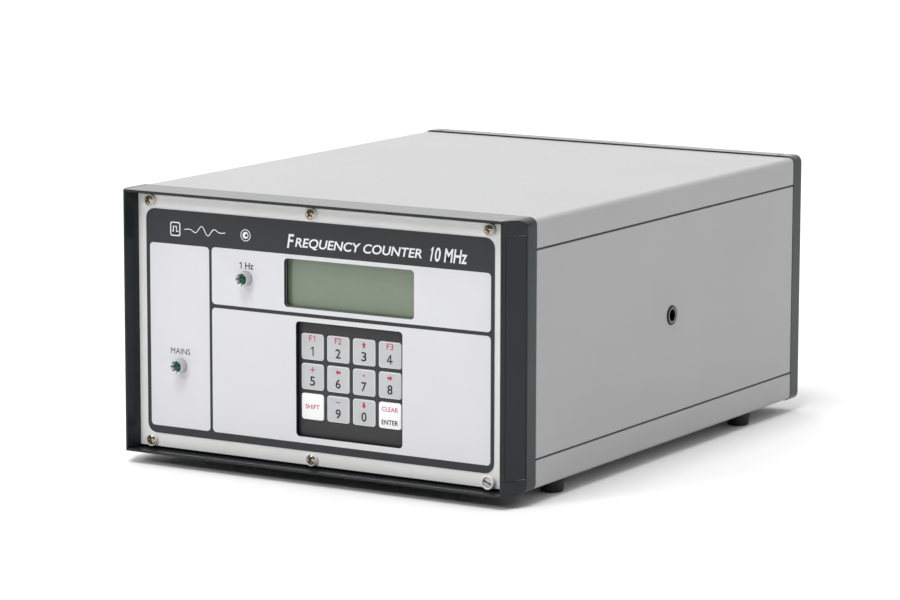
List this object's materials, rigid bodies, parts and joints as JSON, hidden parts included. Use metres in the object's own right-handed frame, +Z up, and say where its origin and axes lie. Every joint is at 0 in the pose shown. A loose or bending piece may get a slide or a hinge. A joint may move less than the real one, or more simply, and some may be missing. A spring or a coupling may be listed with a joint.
{
  "type": "frequency counter",
  "caption": "Bench frequency counter in a low metal case, its recessed front panel framed by dark bars, with a keypad, a display window, lamps and rear connectors.",
  "frame": {"origin": "on the surface it stands on, under the centre of its bounding box", "axes": "+X to the right and +Y to the rear as seen from the front, +Z up"},
  "size_m": [0.2338, 0.3142, 0.1398],
  "materials": {
    "frame_paint": "satin anthracite paint",
    "cover_paint": "fine-textured light grey powder coat",
    "panel_metal": "light satin",
    "overlay_film": "printed matt film, dark grey and light grey",
    "screw_metal": "nickel plated, in off-white plastic sleeves",
    "display_glass": "grey-green reflective display glass",
    "black_plastic": "fine matt",
    "key_grey": "matt grey",
    "key_white": "matt white",
    "black_rubber": "matt",
    "collar_chrome": "polished",
    "lamp_lens": "clear green",
    "socket_nickel": "nickel plate",
    "connector_steel": "tinned",
    "post_brass": "turned",
    "circuit_board": "green solder mask",
    "module_metal": "plain sheet"
  },
  "bodies": {
    "case": {"front_post_left": "frame_paint", "front_post_right": "frame_paint", "front_rail_top": "frame_paint", "front_rail_bottom": "frame_paint", "front_trim_left": "frame_paint", "front_trim_right": "frame_paint", "rear_post_left": "frame_paint", "rear_post_right": "frame_paint", "rear_rail_top": "frame_paint", "rear_rail_bottom": "frame_paint", "top_cover": "cover_paint", "bottom_cover": "cover_paint", "side_panel_left": "cover_paint", "side_panel_right": "cover_paint", "side_bush_left": "black_plastic", "side_bush_right": "black_plastic", "foot_front_left": "black_rubber", "foot_front_right": "black_rubber", "foot_rear_left": "black_rubber", "foot_rear_right": "black_rubber", "front_panel": "panel_metal", "panel_overlay": "overlay_film", "panel_screw_top_left": "screw_metal", "panel_screw_top_middle": "screw_metal", "panel_screw_top_right": "screw_metal", "panel_screw_bottom_left": "screw_metal", "panel_screw_bottom_middle": "screw_metal", "panel_screw_bottom_right": "screw_metal", "display_glass": "display_glass", "display_frame": "black_plastic", "keypad_bezel": "black_plastic", "lamp_collar_gate": "collar_chrome", "lamp_collar_power": "collar_chrome", "lamp_gate": "lamp_lens", "lamp_power": "lamp_lens", "rear_panel": "cover_paint", "mains_inlet": "black_plastic", "socket_measured_input": "socket_nickel", "socket_reference_input": "socket_nickel", "socket_reference_output": "socket_nickel", "serial_connector": "connector_steel", "ground_post": "post_brass", "display_board": "circuit_board", "main_board": "circuit_board", "power_supply": "module_metal", "oscillator_module": "module_metal"},
    "key_1": {"key_1": "key_grey"},
    "key_2": {"key_2": "key_grey"},
    "key_3": {"key_3": "key_grey"},
    "key_4": {"key_4": "key_grey"},
    "key_5": {"key_5": "key_grey"},
    "key_6": {"key_6": "key_grey"},
    "key_7": {"key_7": "key_grey"},
    "key_8": {"key_8": "key_grey"},
    "key_shift": {"key_shift": "key_white"},
    "key_9": {"key_9": "key_grey"},
    "key_0": {"key_0": "key_grey"},
    "key_enter": {"key_enter": "key_white"},
    "power_rocker": {"power_rocker": "black_plastic"},
    "fuse_drawer": {"fuse_drawer": "black_plastic"}
  },
  "joints": [
    {"name": "key_1_press", "type": "slide", "parent": "case", "child": "key_1", "axis": [0, 1, 0], "range_m": [0, 0.0006], "stiffness_N_per_m": 800, "springref_m": -0.0004},
    {"name": "key_2_press", "type": "slide", "parent": "case", "child": "key_2", "axis": [0, 1, 0], "range_m": [0, 0.0006], "stiffness_N_per_m": 800, "springref_m": -0.0004},
    {"name": "key_3_press", "type": "slide", "parent": "case", "child": "key_3", "axis": [0, 1, 0], "range_m": [0, 0.0006], "stiffness_N_per_m": 800, "springref_m": -0.0004},
    {"name": "key_4_press", "type": "slide", "parent": "case", "child": "key_4", "axis": [0, 1, 0], "range_m": [0, 0.0006], "stiffness_N_per_m": 800, "springref_m": -0.0004},
    {"name": "key_5_press", "type": "slide", "parent": "case", "child": "key_5", "axis": [0, 1, 0], "range_m": [0, 0.0006], "stiffness_N_per_m": 800, "springref_m": -0.0004},
    {"name": "key_6_press", "type": "slide", "parent": "case", "child": "key_6", "axis": [0, 1, 0], "range_m": [0, 0.0006], "stiffness_N_per_m": 800, "springref_m": -0.0004},
    {"name": "key_7_press", "type": "slide", "parent": "case", "child": "key_7", "axis": [0, 1, 0], "range_m": [0, 0.0006], "stiffness_N_per_m": 800, "springref_m": -0.0004},
    {"name": "key_8_press", "type": "slide", "parent": "case", "child": "key_8", "axis": [0, 1, 0], "range_m": [0, 0.0006], "stiffness_N_per_m": 800, "springref_m": -0.0004},
    {"name": "key_shift_press", "type": "slide", "parent": "case", "child": "key_shift", "axis": [0, 1, 0], "range_m": [0, 0.0006], "stiffness_N_per_m": 800, "springref_m": -0.0004},
    {"name": "key_9_press", "type": "slide", "parent": "case", "child": "key_9", "axis": [0, 1, 0], "range_m": [0, 0.0006], "stiffness_N_per_m": 800, "springref_m": -0.0004},
    {"name": "key_0_press", "type": "slide", "parent": "case", "child": "key_0", "axis": [0, 1, 0], "range_m": [0, 0.0006], "stiffness_N_per_m": 800, "springref_m": -0.0004},
    {"name": "key_enter_press", "type": "slide", "parent": "case", "child": "key_enter", "axis": [0, 1, 0], "range_m": [0, 0.0006], "stiffness_N_per_m": 800, "springref_m": -0.0004},
    {"name": "power_rocker_tilt", "type": "hinge", "parent": "case", "child": "power_rocker", "pos_m": [0.076, 0.14833, 0.09325], "axis": [1, 0, 0], "range_deg": [0, 20]},
    {"name": "fuse_drawer_slide", "type": "slide", "parent": "case", "child": "fuse_drawer", "axis": [0, 1, 0], "range_m": [0, 0.015]}
  ]
}
